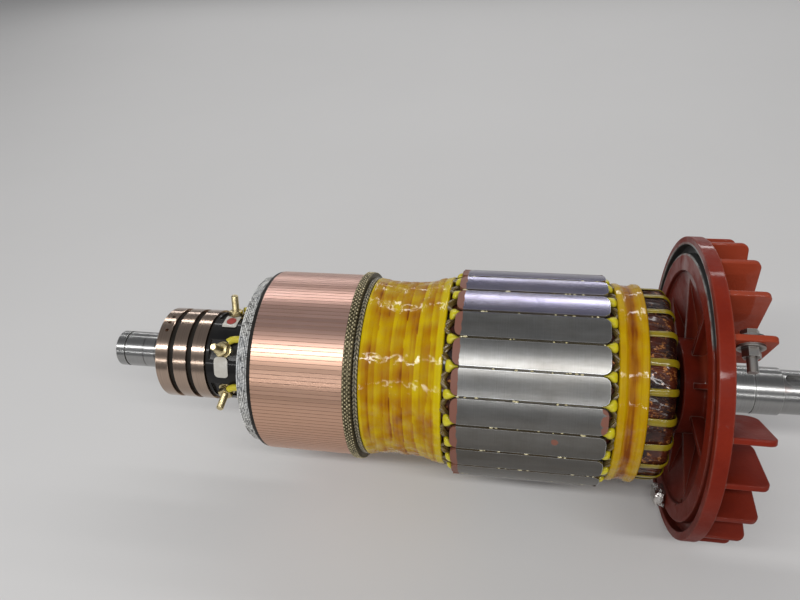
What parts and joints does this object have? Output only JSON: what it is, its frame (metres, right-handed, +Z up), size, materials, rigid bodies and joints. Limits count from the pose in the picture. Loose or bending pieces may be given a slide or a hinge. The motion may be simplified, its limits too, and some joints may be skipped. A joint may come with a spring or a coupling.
{
  "type": "motor armature",
  "caption": "Rotor of an AC commutator motor: stepped shaft with slip rings, commutator, slotted core, banded end windings and a cast cooling fan.",
  "frame": {"origin": "on the shaft's axis, at the middle of the drive-end bearing journal", "axes": "+X along the shaft towards the drive end, +Z up"},
  "size_m": [1.11, 0.412, 0.412],
  "materials": {
    "turned_steel": "bright turned steel",
    "slip_ring_bronze": "polished bronze",
    "black_insulation": "dark moulded insulation",
    "black_moulding": "black varnished moulding",
    "stud_brass": "brass",
    "lead_sleeving": "yellow sleeving",
    "hub_steel": "machined steel, darkened",
    "cone_mica": "dark moulded mica",
    "commutator_copper": "polished copper",
    "woven_glass": "grey woven glass tape",
    "soldered_risers": "rough solder over copper",
    "dark_ring": "dark insulating board",
    "varnished_winding": "dark red-brown varnish over copper",
    "amber_banding": "amber resin-glass tape",
    "core_steel": "ground lamination edges",
    "wedge_board": "varnished wedge board",
    "coil_insulation": "varnished coil tape",
    "yellow_cuffs": "yellow varnished slot liner",
    "support_iron": "plain casting",
    "tape_ties": "yellow varnished tape",
    "fan_red": "red paint, worn grey on the lips",
    "zinc_steel": "zinc-plated steel"
  },
  "bodies": {
    "root": {"balance_bolt": "zinc_steel", "balance_nut": "zinc_steel", "balance_washers": "zinc_steel", "balance_weight": "zinc_steel", "coil_support_front": "support_iron", "coil_support_rear": "support_iron", "commutator_band": "woven_glass", "commutator_clamp_ring": "hub_steel", "commutator_cone_front": "cone_mica", "commutator_cone_rear": "cone_mica", "commutator_hub": "hub_steel", "commutator_risers": "soldered_risers", "commutator_segments": "commutator_copper", "core_laminations": "core_steel", "fan": "fan_red", "front_banding": "amber_banding", "front_winding": "varnished_winding", "rear_banding": "amber_banding", "rear_winding": "varnished_winding", "riser_ring": "dark_ring", "shaft": "turned_steel", "slip_ring_1": "slip_ring_bronze", "slip_ring_2": "slip_ring_bronze", "slip_ring_3": "slip_ring_bronze", "slip_ring_sleeve": "black_insulation", "slot_coils": "coil_insulation", "slot_liners_front": "yellow_cuffs", "slot_liners_rear": "yellow_cuffs", "slot_wedges": "wedge_board", "terminal_hub": "black_moulding", "terminal_leads": "lead_sleeving", "terminal_stud_1": "stud_brass", "terminal_stud_2": "stud_brass", "terminal_stud_3": "stud_brass", "terminal_stud_4": "stud_brass", "terminal_stud_5": "stud_brass", "terminal_stud_6": "stud_brass", "terminal_washers": "zinc_steel", "winding_ties": "tape_ties"}
  },
  "joints": []
}
